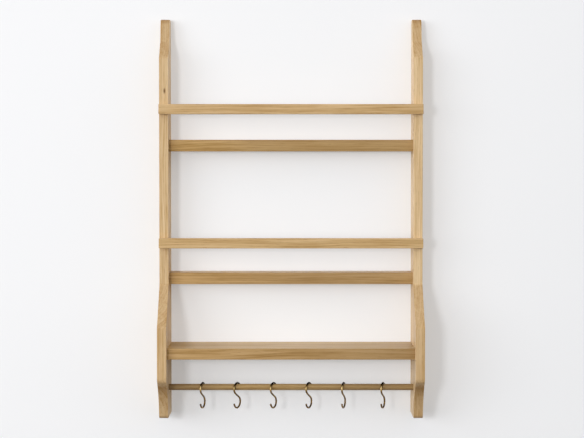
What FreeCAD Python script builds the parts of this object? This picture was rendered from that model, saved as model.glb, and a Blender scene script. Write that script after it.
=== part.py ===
import FreeCAD, Part
import math
import os

# A wall-hung oak plate rack, in millimetres.
# The wall is the plane Y = 0. The rack stands out of it towards -Y, with +X to its right and +Z up.
# The origin lies on the wall, midway between the two keyholes that hang the rack.

V = FreeCAD.Vector
OUT_OF_WALL = V(0, -1, 0)
INTO_WALL = V(0, 1, 0)
tolerance = 1e-6              # under which two lengths count as equal

# Boards
rack_width = 600.0            # over the outer faces of the uprights, and the length of the front rails
upright_thickness = 21.0
arris_ease = 1.0              # sanded rounding on every long edge
corner_extra = 0.5            # rounding of the uprights' crisp corners, over that of the long edges

# Depths of the uprights' outline, measured out from the wall
neck_top_depth = 30.0
neck_foot_depth = 42.0
plate_depth = 78.0
base_depth = 150.0
foot_depth = 98.0

# Heights of the outline's stretches, stacked from the foot to the top
foot_round = 10.0             # quarter round under the toe
cove_height = 81.0
base_height = 122.0
ramp_height = 93.6
plate_height = 513.4
shoulder_height = 40.0
neck_height = 51.0
top_round = 9.0               # rounding at the top of the neck
base_round = 14.0             # soft rounding above and below the base's front

# How far each curved stretch bows into the board, at the middle of its chord
cove_hollow = 9.0
ramp_hollow = 2.0

# Front rails, housed in notches across the uprights' front edges
rail_height = 22.6
rail_thickness = 22.0
rail_housing = 4.0
rail_rise = 57.8              # from the top of a ledge to the underside of the rail in front of it

# Ledges that the plates stand on, between the uprights
ledge_height = 26.5
ledge_setback = 20.5          # behind the uprights' front edges
ledge_rise = 23.2             # from the foot of the plate section to the top of the lower ledge
bay_pitch = 304.4             # from one plate bay to the next

# Bottom shelf
shelf_thickness = 24.7
shelf_setback = 18.0          # behind the base's front
shelf_rise = 48.2             # from the foot of the base's front to the shelf's underside

# Hanging rod
rod_diameter = 14.5
rod_depth = 76.0              # rod axis, out from the wall
rod_drop = 70.0               # rod axis, below the shelf's underside
rod_socket = 12.0             # how far each end goes into its upright
rod_clearance = 0.1           # round the rod and at its ends

# S-hooks, bent from round wire
wire_diameter = 4.0
hook_slack = 3.75             # inside radius of the bends, over the rod's radius
hook_shank = 16.7             # straight wire between the two bends
hook_tip_angle = 11.0         # each bend stops this far short of a half circle, in degrees
hook_tip_flat = 0.55          # radius of the flat left on each rounded tip
hook_seat = 0.3               # between the rod and the wire that hangs on it
hook_end_gap = 73.0           # from an upright to the even place of the hook beside it
hook_slides = (4.0, 0.5, 1.0, -0.5, -3.5, 4.0)      # along the rod, away from the even places
hook_yaws = (18.9, 30.3, 28.7, 28.7, 18.4, 20.7)    # turned from square across the rod, in degrees

# Dowels in the glued joints
dowel_diameter = 8.0
dowel_length = 30.0
dowel_chamfer = 1.0
dowel_clearance = 0.05        # round a dowel
dowel_relief = 1.0            # room for glue past each end of a dowel
dowel_in_upright = 12.0       # of its length, where a ledge or the shelf meets the upright
dowel_in_rail = 12.0          # of its length, where a rail crosses the upright
ledge_dowel_inset = 14.0      # from a ledge's front and back
shelf_dowel_inset = 24.0      # from the shelf's front and back

# Keyhole hanger plates, let in flush with the uprights' back edges
hanger_drop = 57.0            # keyhole entry, below the top of the uprights
hanger_width = 14.0
hanger_thickness = 2.0
hanger_end = 5.0               # from a screw's axis to the plate's end
hanger_clearance = 0.1
entry_diameter = 9.0
slot_width = 4.5
slot_travel = 12.0            # from the entry's centre up to the end of the slot
screw_spacing = 12.0          # from either end of the keyhole's travel to the screw beyond it
pocket_width = 10.0           # room in the wood for the head of the wall screw
pocket_depth = 8.0            # behind the plate

# Countersunk screws of the hanger plates
screw_head = 6.0
screw_shank = 3.0
screw_length = 16.0
screw_tip = 3.0               # length of the pointed end
screw_clearance = 0.1
recess_span = 3.4             # cross recess in the head
recess_width = 0.8
recess_depth = 1.0

# Places that follow from the sizes above, as heights over the foot and depths out from the wall
cove_top = foot_round + cove_height
base_top = cove_top + base_height
plate_foot = base_top + ramp_height
shoulder = plate_foot + plate_height
neck_foot = shoulder + shoulder_height
rack_top = neck_foot + neck_height
hang_height = rack_top - hanger_drop

inner_half = rack_width / 2 - upright_thickness
rail_front = plate_depth - rail_housing + rail_thickness
ledge_depth = plate_depth - ledge_setback
ledge_tops = (plate_foot + ledge_rise, plate_foot + ledge_rise + bay_pitch)
shelf_under = cove_top + shelf_rise
shelf_depth = base_depth - shelf_setback
rod_height = shelf_under - rod_drop
rod_radius = rod_diameter / 2
wire_radius = wire_diameter / 2
hook_radius = rod_radius + hook_slack + wire_radius      # of the wire's centre line


def at(x, depth, height):
    """The point at a depth out from the wall and a height over the foot."""
    return V(x, -depth, height - hang_height)


def round_bar(radius, length, start, direction):
    return Part.makeCylinder(radius, length, start, direction)


def board(low, high):
    """A square-edged board between two opposite corners."""
    size = high - low
    return Part.makeBox(size.x, size.y, size.z, low)


def runs_along_x(edge):
    first, last = edge.Vertexes[0].Point, edge.Vertexes[-1].Point
    return abs(first.x - last.x) > edge.Length - tolerance


def eased_along_x(solid):
    """Ease the four long edges of a board that lies along X."""
    return solid.makeFillet(arris_ease, [e for e in solid.Edges if runs_along_x(e)])


# Uprights

def bowed(start, end, hollow):
    """An arc that bows into the board, which lies behind the chord."""
    inwards = V(1, 0, 0).cross(end - start).normalize()
    return Part.Arc(start, (start + end) / 2 + inwards * hollow, end).toShape()


def quarter_round(start, end, centre):
    radius = (start - centre).Length
    middle = centre + ((start + end) / 2 - centre).normalize() * radius
    return Part.Arc(start, middle, end).toShape()


def outline(x):
    """The upright's side view, as a closed wire at one X."""
    foot_back = at(x, 0, 0)
    top_back = at(x, 0, rack_top)
    top_front = at(x, neck_top_depth, rack_top)
    neck_lower = at(x, neck_foot_depth, neck_foot)
    plate_upper = at(x, plate_depth, shoulder)
    plate_lower = at(x, plate_depth, plate_foot)
    base_upper = at(x, base_depth, base_top)
    base_lower = at(x, base_depth, cove_top)
    toe = at(x, foot_depth, foot_round)
    toe_centre = at(x, foot_depth - foot_round, foot_round)
    sole = at(x, foot_depth - foot_round, 0)
    return Part.Wire([
        Part.LineSegment(foot_back, top_back).toShape(),
        Part.LineSegment(top_back, top_front).toShape(),
        Part.LineSegment(top_front, neck_lower).toShape(),
        Part.LineSegment(neck_lower, plate_upper).toShape(),
        Part.LineSegment(plate_upper, plate_lower).toShape(),
        bowed(plate_lower, base_upper, ramp_hollow),
        Part.LineSegment(base_upper, base_lower).toShape(),
        bowed(base_lower, toe, cove_hollow),
        quarter_round(toe, sole, toe_centre),
        Part.LineSegment(sole, foot_back).toShape(),
    ])


def cross_edges(solid, corners):
    """The edges across the board's thickness at the given (depth, height) corners."""
    found = []
    for depth, height in corners:
        place = at(0, depth, height)
        for edge in solid.Edges:
            ends = [v.Point for v in edge.Vertexes]
            if all(math.hypot(p.y - place.y, p.z - place.z) < tolerance for p in ends):
                found.append(edge)
    return found


def shaped_board(inner_x, outer_x):
    """The upright's board with its corners rounded and its long edges eased."""
    low_x = min(inner_x, outer_x)
    solid = Part.Face(outline(low_x)).extrude(V(upright_thickness, 0, 0))
    solid = solid.makeFillet(top_round, cross_edges(solid, [(neck_top_depth, rack_top)]))
    soft = [(base_depth, base_top), (base_depth, cove_top)]
    solid = solid.makeFillet(base_round, cross_edges(solid, soft))
    crisp = [(0, 0), (0, rack_top), (neck_foot_depth, neck_foot), (plate_depth, shoulder),
             (plate_depth, plate_foot), (foot_depth, foot_round)]
    solid = solid.makeFillet(arris_ease + corner_extra, cross_edges(solid, crisp))
    faces = [f for f in solid.Faces if abs(abs(f.normalAt(0, 0).x) - 1) < tolerance]
    rims = [e for f in faces for e in f.Edges]
    return solid.makeFillet(arris_ease, rims)


def upright(side):
    """One side board, with its notches, bores and hanger pocket cut; side is -1 left or +1 right."""
    inner_x = side * inner_half
    outer_x = side * rack_width / 2
    middle_x = (inner_x + outer_x) / 2
    outwards = V(side, 0, 0)
    socket = round_bar(rod_radius + rod_clearance, rod_socket + rod_clearance,
                       at(inner_x, rod_depth, rod_height), outwards)
    cuts = [socket]
    for top in ledge_tops:
        notch_low = at(-rack_width, rail_front, top + rail_rise)
        notch_high = at(rack_width, plate_depth - rail_housing, top + rail_rise + rail_height)
        cuts.append(board(notch_low, notch_high))
        cuts.append(dowel_hole(dowel_length - dowel_in_rail, rail_dowel_place(middle_x, top), INTO_WALL))
        for depth in ledge_dowel_depths:
            place = at(inner_x, depth, top - ledge_height / 2)
            cuts.append(dowel_hole(dowel_in_upright, place, outwards))
    for depth in shelf_dowel_depths:
        place = at(inner_x, depth, shelf_under + shelf_thickness / 2)
        cuts.append(dowel_hole(dowel_in_upright, place, outwards))
    cuts += hanger_cuts(middle_x)
    return shaped_board(inner_x, outer_x).cut(cuts)


# Dowels and their holes

ledge_dowel_depths = (ledge_dowel_inset, ledge_depth - ledge_dowel_inset)
shelf_dowel_depths = (shelf_dowel_inset, shelf_depth / 2, shelf_depth - shelf_dowel_inset)


def dowel_hole(length, mouth, direction):
    return round_bar(dowel_diameter / 2 + dowel_clearance, length + dowel_relief, mouth, direction)


def dowel(start, direction):
    pin = round_bar(dowel_diameter / 2, dowel_length, start, direction)
    ends = [e for e in pin.Edges if e.Closed]
    return pin.makeChamfer(dowel_chamfer, ends)


def rail_dowel_place(x, ledge_top):
    """Where a rail's dowel passes from the upright into the rail."""
    return at(x, plate_depth - rail_housing, ledge_top + rail_rise + rail_height / 2)


def rail_dowels(ledge_top):
    pins = []
    for side in (-1, 1):
        x = side * (inner_half + upright_thickness / 2)
        start = rail_dowel_place(x, ledge_top) + OUT_OF_WALL * dowel_in_rail
        pins.append(dowel(start, INTO_WALL))
    return Part.Compound(pins)


def end_dowels(depths, height):
    """The dowels through both ends of a piece that lies between the uprights."""
    pins = []
    for side in (-1, 1):
        for depth in depths:
            start = at(side * (inner_half + dowel_in_upright), depth, height)
            pins.append(dowel(start, V(-side, 0, 0)))
    return Part.Compound(pins)


def end_holes(depths, height):
    """The holes for those dowels in the ends of the piece itself."""
    holes = []
    for side in (-1, 1):
        for depth in depths:
            mouth = at(side * inner_half, depth, height)
            holes.append(dowel_hole(dowel_length - dowel_in_upright, mouth, V(-side, 0, 0)))
    return holes


# Rails, ledges, shelf and rod

def front_rail(ledge_top):
    low = at(-rack_width / 2, rail_front, ledge_top + rail_rise)
    high = at(rack_width / 2, rail_front - rail_thickness, ledge_top + rail_rise + rail_height)
    blank = board(low, high)
    blank = blank.makeFillet(arris_ease, blank.Edges)
    holes = []
    for side in (-1, 1):
        x = side * (inner_half + upright_thickness / 2)
        holes.append(dowel_hole(dowel_in_rail, rail_dowel_place(x, ledge_top), OUT_OF_WALL))
    return blank.cut(holes)


def ledge(top):
    low = at(-inner_half, ledge_depth, top - ledge_height)
    high = at(inner_half, 0, top)
    holes = end_holes(ledge_dowel_depths, top - ledge_height / 2)
    return eased_along_x(board(low, high)).cut(holes)


def bottom_shelf():
    low = at(-inner_half, shelf_depth, shelf_under)
    high = at(inner_half, 0, shelf_under + shelf_thickness)
    holes = end_holes(shelf_dowel_depths, shelf_under + shelf_thickness / 2)
    return eased_along_x(board(low, high)).cut(holes)


def hanging_rod():
    length = 2 * (inner_half + rod_socket)
    return round_bar(rod_radius, length, at(-length / 2, rod_depth, rod_height), V(1, 0, 0))


# S-hooks

def bend(centre, first, last):
    """An arc of the hook's centre line in the XZ plane, between two angles in degrees."""
    points = []
    for angle in (first, (first + last) / 2, last):
        turn = math.radians(angle)
        points.append(centre + V(math.cos(turn), 0, math.sin(turn)) * hook_radius)
    return Part.Arc(*points).toShape()


def flat_hook():
    """An S-hook in the XZ plane, with the centre of its upper bend at the origin."""
    slope = math.degrees(math.atan2(hook_radius, hook_shank / 2))
    bend_gap = 2 * math.hypot(hook_radius, hook_shank / 2)
    lower_centre = V(0, 0, -bend_gap)
    upper = bend(V(0, 0, 0), hook_tip_angle, 180 + slope)
    lower = bend(lower_centre, slope, -180 + hook_tip_angle)
    shank = Part.LineSegment(upper.Vertexes[-1].Point, lower.Vertexes[0].Point).toShape()
    path = Part.Wire([upper, shank, lower])
    start = upper.Vertexes[0].Point
    section = Part.Wire(Part.makeCircle(wire_radius, start, upper.tangentAt(upper.FirstParameter)))
    solid = path.makePipeShell([section], True, False)
    tips = [e for e in solid.Edges if e.Closed and on_tip(e, start, lower.Vertexes[-1].Point)]
    return solid.makeFillet(wire_radius - hook_tip_flat, tips)


def on_tip(edge, *tips):
    return any((edge.CenterOfMass - tip).Length < wire_radius / 2 for tip in tips)


def hang_drop(yaw):
    """How far the upper bend's centre hangs below the rod's axis, when the wire just clears the rod.

    Seen along the rod, a turned bend is an ellipse as tall as the bend and narrower. It hangs on its
    top, or on two points beside it where the ellipse is more sharply curved there than the rod.
    """
    reach = rod_radius + hook_seat + wire_radius
    half_width = hook_radius * math.cos(math.radians(yaw))
    if half_width ** 2 / hook_radius >= reach:
        return hook_radius - reach
    return hook_radius * math.sin(math.radians(yaw)) * math.sqrt(1 - (reach / half_width) ** 2)


def s_hook(place, yaw):
    """A hook on the rod, its open upper end behind the rod and turned to the right."""
    hook = flat_hook()
    hook.rotate(V(0, 0, 0), V(0, 0, 1), 90 - yaw)
    hook.translate(at(place, rod_depth, rod_height - hang_drop(yaw)))
    return hook


def hook_places():
    first = -inner_half + hook_end_gap
    pitch = -2 * first / (len(hook_slides) - 1)
    return [first + pitch * n + slide for n, slide in enumerate(hook_slides)]


# Keyhole hanger plates and their screws

screw_heights = (hang_height - screw_spacing, hang_height + slot_travel + screw_spacing)


def pill(x, width, low, high, depth, thickness):
    """A round-ended plate standing on the wall side of a depth, with its end arcs centred low and high."""
    radius = width / 2
    left_low, right_low = at(x - radius, depth, low), at(x + radius, depth, low)
    left_high, right_high = at(x - radius, depth, high), at(x + radius, depth, high)
    rim = Part.Wire([
        Part.LineSegment(left_low, left_high).toShape(),
        Part.Arc(left_high, at(x, depth, high + radius), right_high).toShape(),
        Part.LineSegment(right_high, right_low).toShape(),
        Part.Arc(right_low, at(x, depth, low - radius), left_low).toShape(),
    ])
    return Part.Face(rim).extrude(INTO_WALL * thickness)


def hanger_blank(x, clearance):
    """The hanger plate's outline, or the recess for it when a clearance is given."""
    width = hanger_width + 2 * clearance
    inset = hanger_end - hanger_width / 2
    low, high = screw_heights[0] - inset, screw_heights[1] + inset
    thickness = hanger_thickness + clearance
    return pill(x, width, low, high, thickness, thickness)


def screw_blank(x, height, clearance):
    """The screw's head and shank, or the hole for it when a clearance is given."""
    head = screw_head / 2 + clearance
    shank = screw_shank / 2 + clearance
    cone = head - shank
    face = at(x, 0, height)
    solid = Part.makeCone(head, shank, cone, face, OUT_OF_WALL)
    straight = screw_length - screw_tip - cone + clearance
    return solid.fuse(round_bar(shank, straight, face + OUT_OF_WALL * cone, OUT_OF_WALL))


def screw(x, height):
    shank_end = at(x, screw_length - screw_tip, height)
    point = Part.makeCone(screw_shank / 2, 0, screw_tip, shank_end, OUT_OF_WALL)
    body = screw_blank(x, height, 0).fuse(point).removeSplitter()
    centre = at(x, recess_depth / 2, height)
    arms = []
    for wide, tall in ((recess_span, recess_width), (recess_width, recess_span)):
        half = V(wide / 2, recess_depth / 2, tall / 2)
        arms.append(board(centre - half, centre + half))
    return body.cut(arms)


def keyhole_plate(x):
    entry = round_bar(entry_diameter / 2, hanger_thickness, at(x, hanger_thickness, hang_height), INTO_WALL)
    slot = pill(x, slot_width, hang_height, hang_height + slot_travel, hanger_thickness, hanger_thickness)
    holes = [screw_blank(x, height, screw_clearance) for height in screw_heights]
    return hanger_blank(x, 0).cut([entry, slot] + holes)


def hanger_cuts(x):
    """What is cut into the back edge of an upright for its hanger plate."""
    pocket = pill(x, pocket_width, hang_height, hang_height + slot_travel,
                  hanger_thickness + pocket_depth, hanger_thickness + pocket_depth)
    pilots = []
    for height in screw_heights:
        pilots.append(round_bar(screw_shank / 2 + screw_clearance, screw_length + screw_clearance,
                                at(x, 0, height), OUT_OF_WALL))
    return [hanger_blank(x, hanger_clearance), pocket] + pilots


def plate_screws(x):
    return Part.Compound([screw(x, height) for height in screw_heights])


# The pieces, each under the name of its node

lower_top, upper_top = ledge_tops
hanger_x = inner_half + upright_thickness / 2
ledge_middle = ledge_height / 2
pieces = {
    "left_upright": upright(-1),
    "right_upright": upright(1),
    "lower_front_rail": front_rail(lower_top),
    "upper_front_rail": front_rail(upper_top),
    "lower_ledge": ledge(lower_top),
    "upper_ledge": ledge(upper_top),
    "bottom_shelf": bottom_shelf(),
    "hanging_rod": hanging_rod(),
    "lower_rail_dowels": rail_dowels(lower_top),
    "upper_rail_dowels": rail_dowels(upper_top),
    "lower_ledge_dowels": end_dowels(ledge_dowel_depths, lower_top - ledge_middle),
    "upper_ledge_dowels": end_dowels(ledge_dowel_depths, upper_top - ledge_middle),
    "shelf_dowels": end_dowels(shelf_dowel_depths, shelf_under + shelf_thickness / 2),
    "left_keyhole_plate": keyhole_plate(-hanger_x),
    "right_keyhole_plate": keyhole_plate(hanger_x),
    "left_plate_screws": plate_screws(-hanger_x),
    "right_plate_screws": plate_screws(hanger_x),
}
for number, (place, yaw) in enumerate(zip(hook_places(), hook_yaws), start=1):
    pieces[f"s_hook_{number}"] = s_hook(place, yaw)

os.makedirs("parts", exist_ok=True)
for name, shape in pieces.items():
    shape.exportStep(f"parts/{name}.step")
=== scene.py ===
import math

import bmesh
import bpy
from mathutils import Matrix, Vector


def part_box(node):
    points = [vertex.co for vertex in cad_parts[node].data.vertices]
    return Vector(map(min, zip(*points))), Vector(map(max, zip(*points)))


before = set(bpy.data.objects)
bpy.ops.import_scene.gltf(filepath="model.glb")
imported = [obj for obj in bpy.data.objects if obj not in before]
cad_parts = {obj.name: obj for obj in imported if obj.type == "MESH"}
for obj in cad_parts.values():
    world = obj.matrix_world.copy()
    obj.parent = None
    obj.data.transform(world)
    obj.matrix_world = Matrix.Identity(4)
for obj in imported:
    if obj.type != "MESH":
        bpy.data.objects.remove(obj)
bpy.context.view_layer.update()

MM = 0.001


# Shading helpers

# Where a Mix node of colours takes its share and its two colours, and where it gives the result.
SHARE, FROM, TO, MIXED = 0, 6, 7, 2


def linear(colour):
    """An sRGB hex colour as linear red, green, blue and alpha."""
    channels = [int(colour[i:i + 2], 16) / 255 for i in (1, 3, 5)]
    return [c / 12.92 if c <= 0.04045 else ((c + 0.055) / 1.055) ** 2.4 for c in channels] + [1.0]


def grey(level):
    """A linear grey, for a ramp that carries a number."""
    return [level, level, level, 1.0]


def add(tree, kind, inputs, stops=(), **settings):
    """Add a node with its settings and colour stops, and set or link its inputs, by name or by number."""
    made = tree.nodes.new(kind)
    for name, value in settings.items():
        setattr(made, name, value)
    for number, (place, colour) in enumerate(stops):
        elements = made.color_ramp.elements
        stop = elements[number] if number < len(elements) else elements.new(place)
        stop.position, stop.color = place, colour
    for name, value in inputs.items():
        if isinstance(value, bpy.types.NodeSocket):
            tree.links.new(value, made.inputs[name])
        else:
            made.inputs[name].default_value = value
    return made


def new_material(name):
    """An empty material and its node tree."""
    made = bpy.data.materials.new(name)
    made.use_nodes = True
    made.node_tree.nodes.clear()
    return made, made.node_tree


# Materials

def oak(name, grain, heart, pale, mid, dark, tone_and_painted_shade=None, knot=None, painted_top_light=0.0):
    """Solid European oak, planed, sanded and matt oiled.

    Growth rings round the heart of the log, with a porous dark start to each ring, long fibre streaks,
    and darker wood where a cut crosses the grain. The pattern's own Z runs along the grain.

    grain: the axis that the grain runs along, and the turn that brings the pattern's Z to it
    heart: where the board lies, from the heart of its log
    browner: a browner colour, and its share at places along the grain, partly the wood's own tone and
    partly painted shade
    knot: where a pin knot lies
    painted_top_light: the share of a paler colour on the upper face, painted light from above and a painted
    sheen
    """
    # Sizes across the grain. The rings are those of fast-grown oak, and the pores are 1 mm wide, both as
    # coarse as they need to be to show.
    crook, crook_sway = 300 * MM, 24 * MM
    ripple, ripple_sway = 30 * MM, 5 * MM
    ring_width = 5.5 * MM
    streak_width, fibre_width, tone_width = 5 * MM, 1.1 * MM, 22 * MM
    pore_spacing = 1.6 * MM
    # Patterns drawn out along the grain
    ripple_stretch, fibre_stretch, pore_stretch = (1, 1, 0.12), (1, 1, 0.03), (1, 1, 0.09)
    noise_middle = (0.5, 0.5, 0.5)
    # Colours of open pores, cuts across the grain, the painted light on an upper face, and a knot
    pore_brown, end_brown, top_light_oak, knot_brown = "#6E5331", "#8C6732", "#DDBB72", "#6B4A26"

    made, tree = new_material(name)
    axis, turn = grain
    place = add(tree, "ShaderNodeTexCoord", {}).outputs
    board = add(tree, "ShaderNodeMapping", {
        "Vector": place["Object"], "Rotation": turn, "Location": heart}).outputs["Vector"]
    drawn_out = add(tree, "ShaderNodeMapping", {"Vector": board, "Scale": ripple_stretch}).outputs["Vector"]

    # The log is crooked, and its rings ripple.
    log = board
    bends = ((board, crook, 1.0, crook_sway), (drawn_out, ripple, 2.0, ripple_sway))
    for pattern, size, detail, sway in bends:
        shift = add(tree, "ShaderNodeTexNoise", {"Vector": pattern, "Scale": 1 / size, "Detail": detail})
        shift = add(tree, "ShaderNodeVectorMath", {0: shift.outputs["Color"], 1: noise_middle},
                    operation="SUBTRACT").outputs[0]
        log = add(tree, "ShaderNodeVectorMath", {0: shift, 1: (sway,) * 3, 2: log},
                  operation="MULTIPLY_ADD").outputs[0]

    # Rings: each has its own tone, and turns from dark early wood to pale late wood.
    across = add(tree, "ShaderNodeVectorMath", {0: log, 1: (1, 1, 0)}, operation="MULTIPLY").outputs[0]
    radius = add(tree, "ShaderNodeVectorMath", {0: across}, operation="LENGTH").outputs["Value"]
    count = add(tree, "ShaderNodeMath", {0: radius, 1: ring_width}, operation="DIVIDE").outputs[0]
    phase = add(tree, "ShaderNodeMath", {0: count}, operation="FRACT").outputs[0]
    ring = add(tree, "ShaderNodeMath", {0: count}, operation="FLOOR").outputs[0]
    ring_tone = add(tree, "ShaderNodeTexWhiteNoise", {"W": ring}, noise_dimensions="1D").outputs["Value"]
    late = add(tree, "ShaderNodeValToRGB", {"Fac": phase}, stops=[
        (0.0, grey(0.1)), (0.22, grey(0.55)), (0.75, grey(0.85)), (1.0, grey(0.35))]).outputs["Color"]

    # Fibre streaks, fine fibres, and slow changes of tone along the board
    fibres = add(tree, "ShaderNodeMapping", {"Vector": board, "Scale": fibre_stretch}).outputs["Vector"]
    streak = add(tree, "ShaderNodeTexNoise", {
        "Vector": fibres, "Scale": 1 / streak_width, "Detail": 2.0}).outputs["Fac"]
    fibre = add(tree, "ShaderNodeTexNoise", {
        "Vector": fibres, "Scale": 1 / fibre_width, "Detail": 2.0}).outputs["Fac"]
    slow = add(tree, "ShaderNodeTexNoise", {
        "Vector": drawn_out, "Scale": 1 / tone_width, "Detail": 1.0}).outputs["Fac"]
    paleness = 0.5
    for tone, weight in ((late, 0.33), (ring_tone, 0.2), (streak, 0.9), (fibre, 0.8), (slow, 0.55)):
        centred = add(tree, "ShaderNodeMath", {0: tone, 1: 0.5}, operation="SUBTRACT").outputs[0]
        paleness = add(tree, "ShaderNodeMath", {0: centred, 1: weight, 2: paleness},
                       operation="MULTIPLY_ADD").outputs[0]
    colour = add(tree, "ShaderNodeValToRGB", {"Fac": paleness}, stops=[
        (0.15, linear(dark)), (0.5, linear(mid)), (0.85, linear(pale))]).outputs["Color"]

    if tone_and_painted_shade:
        # Browner wood by its place along the board, but not on faces that look sideways: partly the wood's
        # own tone and end grain, partly painted shade on the uprights' coves and slopes and along the level
        # boards
        brown, shares = tone_and_painted_shade
        low, high = shares[0][0], shares[-1][0]
        length = add(tree, "ShaderNodeSeparateXYZ", {"Vector": place["Object"]}).outputs[axis]
        length = add(tree, "ShaderNodeMapRange", {
            "Value": length, "From Min": low, "From Max": high}).outputs[0]
        share = add(tree, "ShaderNodeValToRGB", {"Fac": length}, stops=[
            ((spot - low) / (high - low), grey(level)) for spot, level in shares]).outputs["Color"]
        sideways = add(tree, "ShaderNodeSeparateXYZ", {"Vector": place["Normal"]}).outputs["X"]
        sideways = add(tree, "ShaderNodeMath", {0: sideways}, operation="ABSOLUTE").outputs[0]
        edge = add(tree, "ShaderNodeMapRange", {
            "Value": sideways, "From Min": 0.9, "From Max": 0.3}).outputs[0]
        share = add(tree, "ShaderNodeMath", {0: share, 1: edge}, operation="MULTIPLY").outputs[0]
        colour = add(tree, "ShaderNodeMix", {SHARE: share, FROM: colour, TO: linear(brown)},
                     data_type="RGBA").outputs[MIXED]

    # Pores: short dark dashes in the start of each ring
    pores = add(tree, "ShaderNodeMapping", {"Vector": board, "Scale": pore_stretch}).outputs["Vector"]
    pores = add(tree, "ShaderNodeTexVoronoi", {
        "Vector": pores, "Scale": 1 / pore_spacing}).outputs["Distance"]
    pores = add(tree, "ShaderNodeMapRange", {"Value": pores, "From Min": 0.36, "From Max": 0.2}).outputs[0]
    early = add(tree, "ShaderNodeMapRange", {"Value": phase, "From Min": 0.55, "From Max": 0.1}).outputs[0]
    pores = add(tree, "ShaderNodeMath", {0: pores, 1: early}, operation="MULTIPLY").outputs[0]
    share = add(tree, "ShaderNodeMath", {0: pores, 1: 0.3}, operation="MULTIPLY").outputs[0]
    colour = add(tree, "ShaderNodeMix", {SHARE: share, FROM: colour, TO: linear(pore_brown)},
                 data_type="RGBA").outputs[MIXED]

    # A cut across the grain opens the ends of the fibres, which take in more oil and look darker.
    along = add(tree, "ShaderNodeMapping", {"Vector": place["Normal"], "Rotation": turn}).outputs["Vector"]
    along = add(tree, "ShaderNodeSeparateXYZ", {"Vector": along}).outputs["Z"]
    along = add(tree, "ShaderNodeMath", {0: along}, operation="ABSOLUTE").outputs[0]
    end_grain = add(tree, "ShaderNodeMath", {0: along, 1: 5.0}, operation="POWER").outputs[0]
    colour = add(tree, "ShaderNodeMix", {SHARE: end_grain, FROM: colour, TO: linear(end_brown)},
                 data_type="RGBA").outputs[MIXED]

    if painted_top_light:
        # Painted light: the broad upper face is painted paler than the edges, as if lit from above and with
        # a sheen.
        upward = add(tree, "ShaderNodeSeparateXYZ", {"Vector": place["Normal"]}).outputs["Z"]
        top_light_share = add(tree, "ShaderNodeMapRange", {
            "Value": upward, "From Min": 0.6, "From Max": 0.95, "To Max": painted_top_light}).outputs[0]
        colour = add(tree, "ShaderNodeMix", {SHARE: top_light_share, FROM: colour, TO: linear(top_light_oak)},
                     data_type="RGBA").outputs[MIXED]

    if knot:
        # A pin knot: a brown lens along the grain, about 6 mm wide and 16 mm long
        half_sizes = (3.8 * MM, 8 * MM, 9.5 * MM)
        spot = add(tree, "ShaderNodeVectorMath", {0: place["Object"], 1: knot},
                   operation="SUBTRACT").outputs[0]
        spot = add(tree, "ShaderNodeVectorMath", {0: spot, 1: half_sizes}, operation="DIVIDE").outputs[0]
        spot = add(tree, "ShaderNodeVectorMath", {0: spot}, operation="LENGTH").outputs["Value"]
        inside = add(tree, "ShaderNodeMapRange", {
            "Value": spot, "From Min": 1.0, "From Max": 0.1, "To Max": 0.95},
            interpolation_type="SMOOTHSTEP").outputs[0]
        colour = add(tree, "ShaderNodeMix", {SHARE: inside, FROM: colour, TO: linear(knot_brown)},
                     data_type="RGBA").outputs[MIXED]

    # Pores and fibres give a fine bump, and pale wood is a little smoother. Matt oil leaves little shine.
    height = add(tree, "ShaderNodeMath", {0: pores, 1: -1.0, 2: fibre}, operation="MULTIPLY_ADD").outputs[0]
    bump = add(tree, "ShaderNodeBump", {"Height": height, "Strength": 0.25, "Distance": 0.2 * MM})
    rough = add(tree, "ShaderNodeMapRange", {
        "Value": paleness, "From Min": 0.2, "From Max": 0.8, "To Min": 0.46, "To Max": 0.36})
    surface = add(tree, "ShaderNodeBsdfPrincipled", {
        "Base Color": colour, "Roughness": rough.outputs[0], "IOR": 1.48, "Specular IOR Level": 0.2,
        "Normal": bump.outputs["Normal"]})
    add(tree, "ShaderNodeOutputMaterial", {"Surface": surface.outputs["BSDF"]})
    return made


def beech():
    """Turned beech dowel: pinkish pale wood with short dark ray flecks."""
    fleck = 1.5 * MM
    made, tree = new_material("turned_beech")
    place = add(tree, "ShaderNodeTexCoord", {}).outputs["Object"]
    flecks = add(tree, "ShaderNodeTexNoise", {"Vector": place, "Scale": 1 / fleck, "Detail": 2.0})
    colour = add(tree, "ShaderNodeValToRGB", {"Fac": flecks.outputs["Fac"]}, stops=[
        (0.3, linear("#B98E66")), (0.6, linear("#D8B48C"))]).outputs["Color"]
    surface = add(tree, "ShaderNodeBsdfPrincipled", {"Base Color": colour, "Roughness": 0.6, "IOR": 1.48})
    add(tree, "ShaderNodeOutputMaterial", {"Surface": surface.outputs["BSDF"]})
    return made


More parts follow.
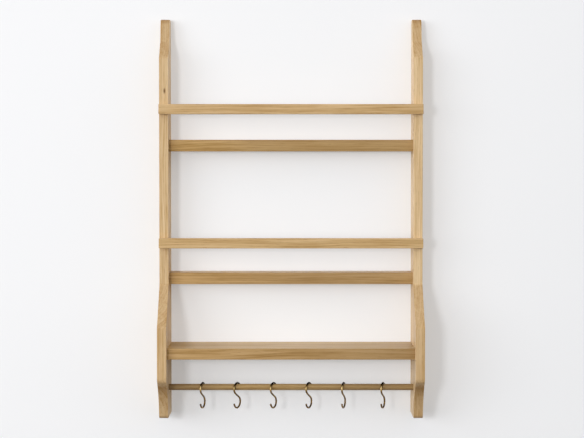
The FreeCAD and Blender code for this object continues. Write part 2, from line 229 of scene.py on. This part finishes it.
def antique_brass(rod_front, rod_middle, rod_top):
    """Brass wire, darkened brown, with painted shade on top and a painted highlight in front.

    The painted shade is a very dark brown over the top of the rod, where the wire mirrors the shelf's dark
    underside, and the painted highlight is a bright brass on the front of the upper bend.
    """
    patch = 6 * MM
    made, tree = new_material("antique_brass")
    place = add(tree, "ShaderNodeTexCoord", {}).outputs["Object"]
    patches = add(tree, "ShaderNodeTexNoise", {
        "Vector": place, "Scale": 1 / patch, "Detail": 3.0}).outputs["Fac"]
    colour = add(tree, "ShaderNodeValToRGB", {"Fac": patches}, stops=[
        (0.35, linear("#523E24")), (0.65, linear("#876B3B"))]).outputs["Color"]
    axes = add(tree, "ShaderNodeSeparateXYZ", {"Vector": place}).outputs
    # Painted shade: very dark brown where the wire runs over the top of the rod
    painted_top_shade = add(tree, "ShaderNodeMapRange", {
        "Value": axes["Z"], "From Min": rod_top - 3 * MM, "From Max": rod_top + 1 * MM},
        interpolation_type="SMOOTHSTEP").outputs[0]
    colour = add(tree, "ShaderNodeMix", {SHARE: painted_top_shade, FROM: colour, TO: linear("#20170C")},
                 data_type="RGBA").outputs[MIXED]
    # Painted highlight: bright brass on the front of the upper bend
    forward = add(tree, "ShaderNodeMapRange", {
        "Value": axes["Y"], "From Min": rod_front - 4.5 * MM, "From Max": rod_front - 6.5 * MM}).outputs[0]
    level = add(tree, "ShaderNodeMapRange", {
        "Value": axes["Z"], "From Min": rod_middle - 9 * MM, "From Max": rod_middle - 4 * MM}).outputs[0]
    painted_front_highlight = add(tree, "ShaderNodeMath", {0: forward, 1: level}, operation="MULTIPLY").outputs[0]
    colour = add(tree, "ShaderNodeMix", {SHARE: painted_front_highlight, FROM: colour, TO: linear("#D8BE86")},
                 data_type="RGBA").outputs[MIXED]
    rough = add(tree, "ShaderNodeMapRange", {
        "Value": patches, "From Min": 0.3, "From Max": 0.7, "To Min": 0.36, "To Max": 0.26}).outputs[0]
    surface = add(tree, "ShaderNodeBsdfPrincipled", {
        "Base Color": colour, "Metallic": 1.0, "Roughness": rough})
    add(tree, "ShaderNodeOutputMaterial", {"Surface": surface.outputs["BSDF"]})
    return made


def zinc_steel(name, pale, dull):
    """Zinc-plated steel: a cool bright plating, cloudy over a few millimetres."""
    cloud = 4 * MM
    made, tree = new_material(name)
    place = add(tree, "ShaderNodeTexCoord", {}).outputs["Object"]
    clouds = add(tree, "ShaderNodeTexNoise", {
        "Vector": place, "Scale": 1 / cloud, "Detail": 3.0}).outputs["Fac"]
    colour = add(tree, "ShaderNodeValToRGB", {"Fac": clouds}, stops=[
        (0.35, linear(dull)), (0.65, linear(pale))]).outputs["Color"]
    rough = add(tree, "ShaderNodeMapRange", {"Value": clouds, "To Min": 0.42, "To Max": 0.28}).outputs[0]
    surface = add(tree, "ShaderNodeBsdfPrincipled", {
        "Base Color": colour, "Metallic": 1.0, "Roughness": rough})
    add(tree, "ShaderNodeOutputMaterial", {"Surface": surface.outputs["BSDF"]})
    return made


def one_sided_paint(name, tint, lit, seen, glow, mirrored, contact):
    """Matt pale paint that is only there from its front, and lets light in where a piece touches it.

    tint: the colour of its white
    lit: how much light it sends back onto the rack
    seen, glow: how light it is to the camera, as a share of the light on it and as a steady part
    mirrored: how light it is in a reflection
    contact: how near a piece has to be to touch it
    """
    made, tree = new_material(name)
    back = add(tree, "ShaderNodeNewGeometry", {}).outputs["Backfacing"]
    path = add(tree, "ShaderNodeLightPath", {}).outputs
    touching = add(tree, "ShaderNodeMath", {0: path["Ray Length"], 1: contact},
                   operation="LESS_THAN").outputs[0]
    hidden = add(tree, "ShaderNodeMath", {0: back, 1: touching}, operation="MAXIMUM").outputs[0]
    sight = add(tree, "ShaderNodeMath", {0: path["Is Camera Ray"], 1: path["Is Transmission Ray"]},
                operation="MAXIMUM").outputs[0]
    white = add(tree, "ShaderNodeMath", {0: sight, 1: seen - lit, 2: lit},
                operation="MULTIPLY_ADD").outputs[0]
    white = add(tree, "ShaderNodeMath", {0: path["Is Glossy Ray"], 1: mirrored - lit, 2: white},
                operation="MULTIPLY_ADD").outputs[0]
    tinted = add(tree, "ShaderNodeVectorMath", {0: white, 1: tint}, operation="MULTIPLY").outputs[0]
    paint = add(tree, "ShaderNodeBsdfDiffuse", {"Color": tinted}).outputs[0]
    steady = add(tree, "ShaderNodeMath", {0: sight, 1: glow}, operation="MULTIPLY").outputs[0]
    steady = add(tree, "ShaderNodeEmission", {"Strength": steady}).outputs[0]
    shown = add(tree, "ShaderNodeAddShader", {0: paint, 1: steady}).outputs[0]
    clear = add(tree, "ShaderNodeBsdfTransparent", {}).outputs[0]
    surface = add(tree, "ShaderNodeMixShader", {0: hidden, 1: shown, 2: clear})
    add(tree, "ShaderNodeOutputMaterial", {"Surface": surface.outputs[0]})
    return made


# Oak boards, each from its own place in a log. Uprights have upright grain, and all the others lie along X.
upright_grain = ("Z", (0, 0, 0))
level_grain = ("X", (0, math.pi / 2, 0))
# A browner colour for painted shade on the uprights' coves and slopes, partly their own darker end grain
edge_shade_brown = "#8E6531"
# A more neutral darker colour for painted shade along the level boards, partly their own tone
board_shade_brown = "#7E6444"
# Heights along the uprights' front edges, and the share of brown there on the left and on the right one:
# painted shade on the coves, feet, ramps, shoulders and rounded tops, partly the wood's own darker end
# grain
front_edges = [
    (-0.854, 0.31, 0.42),       # foot and cove
    (-0.800, 0.29, 0.42),
    (-0.778, 0.75, 0.85),       # cove, close under the base
    (-0.770, 0.10, 0.31),       # base
    (-0.648, 0.06, 0.20),
    (-0.640, 0.28, 0.32),       # ramp
    (-0.553, 0.26, 0.30),
    (-0.547, 0.02, 0.01),       # plate section
    (-0.036, 0.02, 0.01),
    (-0.030, 0.29, 0.30),       # shoulder and neck
    (0.046, 0.34, 0.37),
    (0.049, 0.60, 0.60),        # rounded top
    (0.057, 0.70, 0.70),
]
left_edge = [(height, left) for height, left, right in front_edges]
right_edge = [(height, right) for height, left, right in front_edges]
left_knot = (-0.2876, -0.078, -0.109)
# Places along the level boards, and the share of brown there: painted shade, darker towards the right on
# the ledges and shelf and a painted shadow at the rod's ends, partly the wood's own tone
upper_ledge_tone_and_shade = [(-0.28, 0.0), (-0.17, 0.06), (-0.08, 0.3), (0.28, 0.33)]
lower_ledge_tone_and_shade = [(-0.28, 0.0), (-0.17, 0.1), (0.03, 0.36), (0.17, 0.36), (0.28, 0.22)]
shelf_tone_and_shade = [(-0.28, 0.0), (0.0, 0.16), (0.14, 0.3), (0.28, 0.42)]
rod_tone_and_shade = [(-0.28, 0.7), (-0.19, 0.5), (-0.11, 0.1), (0.0, 0.2), (0.14, 0.45), (0.22, 0.6), (0.28, 0.4)]
finishes = {
    "left_upright": oak("oak_left_upright", upright_grain, (0.36, 0.05, 0.2),
                        "#DBC199", "#CCAD82", "#B5905B", tone_and_painted_shade=(edge_shade_brown, left_edge), knot=left_knot),
    "right_upright": oak("oak_right_upright", upright_grain, (-0.21, 0.10, 1.3),
                         "#E0C59C", "#D1B286", "#BA955E", tone_and_painted_shade=(edge_shade_brown, right_edge)),
    "upper_front_rail": oak("oak_upper_rail", level_grain, (0.22, 0.08, 0.7),
                            "#D3B488", "#C3A273", "#A88450"),
    "lower_front_rail": oak("oak_lower_rail", level_grain, (0.52, 0.12, 2.1),
                            "#D2B386", "#C2A171", "#A7834E"),
    "upper_ledge": oak("oak_upper_ledge", level_grain, (0.31, 0.04, 3.3),
                       "#C9A774", "#B6935D", "#95703A", tone_and_painted_shade=(board_shade_brown, upper_ledge_tone_and_shade)),
    "lower_ledge": oak("oak_lower_ledge", level_grain, (0.61, 0.05, 4.4),
                       "#CBA97A", "#BA9662", "#98743F", tone_and_painted_shade=(board_shade_brown, lower_ledge_tone_and_shade)),
    "bottom_shelf": oak("oak_shelf", level_grain, (0.62, 0.06, 5.2),
                        "#C3A172", "#B3905E", "#95713D", tone_and_painted_shade=(board_shade_brown, shelf_tone_and_shade), painted_top_light=0.3),
    "hanging_rod": oak("oak_rod", level_grain, (0.75, 0.03, 6.1),
                       "#C5A878", "#B49564", "#977645", tone_and_painted_shade=(board_shade_brown, rod_tone_and_shade)),
}
turned_beech = beech()
rod_low, rod_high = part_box("hanging_rod")
hook_brass = antique_brass(rod_low[1], (rod_low[2] + rod_high[2]) / 2, rod_high[2])
plate_zinc = zinc_steel("zinc_plate", "#C6CACC", "#8E9396")
screw_zinc = zinc_steel("zinc_screw", "#CFC9B4", "#99937E")
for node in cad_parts:
    if node.endswith("dowels"):
        finishes[node] = turned_beech
    elif node.startswith("s_hook"):
        finishes[node] = hook_brass
    elif node.endswith("keyhole_plate"):
        finishes[node] = plate_zinc
    elif node.endswith("plate_screws"):
        finishes[node] = screw_zinc
for node, finish in finishes.items():
    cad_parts[node].material_slots[0].material = finish


# Stage: a pale wall just behind the rack and a pale floor well below it

def sheet(name, corners, paint):
    """A flat four-cornered stage piece that faces the way its corners turn."""
    mesh = bpy.data.meshes.new(name)
    shape = bmesh.new()
    shape.faces.new([shape.verts.new(corner) for corner in corners])
    shape.to_mesh(mesh)
    shape.free()
    made = bpy.data.objects.new(name, mesh)
    bpy.context.scene.collection.objects.link(made)
    mesh.materials.append(paint)


wall_gap = 0.5 * MM
floor_height = -1.55
wall_half = 6.0
wall_top = 5.0
floor_front = -8.0
wall_paint = one_sided_paint("wall_paint", tint=(0.98, 0.99, 1.02), lit=1.0, seen=0.63, glow=0.295,
                             mirrored=1.2, contact=3 * MM)
floor_paint = one_sided_paint("floor_paint", tint=(1.0, 0.85, 0.6), lit=0.06, seen=0.05, glow=0.87,
                              mirrored=0.6, contact=0.0)
sheet("wall", [(-wall_half, wall_gap, floor_height), (wall_half, wall_gap, floor_height),
               (wall_half, wall_gap, wall_top), (-wall_half, wall_gap, wall_top)], wall_paint)
sheet("floor", [(-wall_half, wall_half, floor_height), (-wall_half, floor_front, floor_height),
                (wall_half, floor_front, floor_height), (wall_half, wall_half, floor_height)], floor_paint)


# Light: a broad soft window on the left, a small key lamp left of the camera, a lamp behind the wall for
# the rack's back, and a pale surround

rack_middle = (0, 0, -0.4)


def soft_light(name, place, width, height, power, mirrored=True):
    """A soft lamp aimed at the rack, out of the camera's sight, which a glossy surface mirrors or not."""
    data = bpy.data.lights.new(name, "AREA")
    data.shape = "RECTANGLE"
    data.size = width
    data.size_y = height
    data.energy = power
    made = bpy.data.objects.new(name, data)
    made.location = place
    made.visible_camera = False
    made.visible_glossy = mirrored
    made.rotation_euler = (Vector(rack_middle) - Vector(place)).to_track_quat("-Z", "Y").to_euler()
    bpy.context.scene.collection.objects.link(made)


soft_light("window", (-5.4, -5.4, 0.6), width=5.0, height=3.0, power=160.0)
soft_light("key", (-1.4, -4.43, -0.05), width=0.57, height=0.57, power=58.0, mirrored=False)
soft_light("back", (1.2, 3.2, 1.2), width=1.4, height=1.4, power=30.0)

world = bpy.data.worlds.new("surround")
bpy.context.scene.world = world
world.use_nodes = True
sky = world.node_tree
sky.nodes.clear()
path = add(sky, "ShaderNodeLightPath", {}).outputs
seen = path["Is Camera Ray"]
for ray in ("Is Glossy Ray", "Is Transmission Ray"):
    seen = add(sky, "ShaderNodeMath", {0: seen, 1: path[ray]}, operation="MAXIMUM").outputs[0]
# The fill by height, from straight down at 0 to straight up at 1: strongest a little over the horizon
direction = add(sky, "ShaderNodeTexCoord", {}).outputs["Generated"]
upwards = add(sky, "ShaderNodeSeparateXYZ", {"Vector": direction}).outputs["Z"]
height = add(sky, "ShaderNodeMapRange", {"Value": upwards, "From Min": -1.0, "From Max": 1.0}).outputs[0]
strength = add(sky, "ShaderNodeValToRGB", {"Fac": height}, stops=[
    (0.36, grey(0.2)), (0.48, grey(1.0)), (0.6, grey(1.05)), (0.72, grey(0.8)),
    (1.0, grey(0.75))]).outputs["Color"]
fill = add(sky, "ShaderNodeBackground", {"Color": linear("#FFFFFF"), "Strength": strength}).outputs[0]
pale = add(sky, "ShaderNodeBackground", {"Color": linear("#F6F6F5"), "Strength": 1.0}).outputs[0]
surround = add(sky, "ShaderNodeMixShader", {0: seen, 1: fill, 2: pale})
add(sky, "ShaderNodeOutputWorld", {"Surface": surround.outputs[0]})


# Camera: square to the wall from 3.6 m away, a little above the rack's middle, framed lower by a small
# shift and tilt
camera_tilt = math.radians(1.655)
lens = bpy.data.cameras.new("camera")
lens.sensor_width = 36.0
lens.lens = 94.6
lens.shift_y = -0.03
camera = bpy.data.objects.new("camera", lens)
camera.location = (0.0023, -3.571, -0.2595)
camera.rotation_euler = (math.pi / 2 - camera_tilt, 0, 0)
bpy.context.scene.collection.objects.link(camera)
bpy.context.scene.camera = camera
bpy.context.scene.view_settings.view_transform = "Standard"
